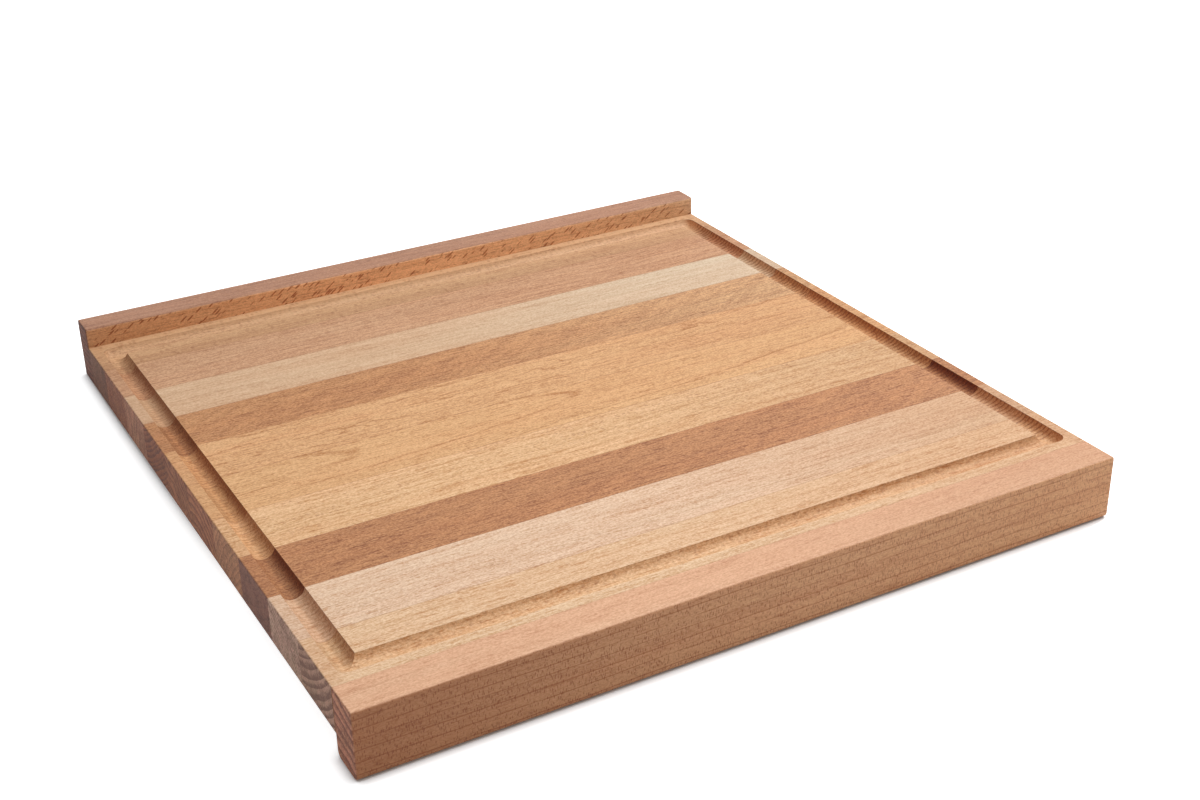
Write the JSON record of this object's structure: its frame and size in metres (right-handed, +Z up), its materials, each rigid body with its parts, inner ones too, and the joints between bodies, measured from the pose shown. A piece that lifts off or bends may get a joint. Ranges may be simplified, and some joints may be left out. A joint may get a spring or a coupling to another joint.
{
  "type": "pastry board",
  "caption": "Square wooden pastry board of edge-glued staves, with a juice groove round the top, a front lip that hooks over a worktop edge and a low rail along the back.",
  "frame": {"origin": "on the panel's underside where it meets the lip's back face, halfway along the lip: the worktop's front top edge lies there", "axes": "+Z up, +Y from the lip to the rail, +X to the right along the staves, seen from the lip"},
  "size_m": [0.35, 0.3545, 0.0395],
  "materials": {
    "pale_beech": "oiled, planed and sanded",
    "tan_beech": "oiled, planed and sanded",
    "brown_beech": "oiled, planed and sanded",
    "lip_beech": "oiled, planed and sanded",
    "rail_beech": "oiled, planed and sanded"
  },
  "bodies": {
    "root": {"front_lip": "lip_beech", "back_rail": "rail_beech", "stave_01": "pale_beech", "stave_02": "pale_beech", "stave_03": "brown_beech", "stave_04": "tan_beech", "stave_05": "tan_beech", "stave_06": "tan_beech", "stave_07": "brown_beech", "stave_08": "pale_beech", "stave_09": "brown_beech", "stave_10": "tan_beech"}
  },
  "joints": []
}
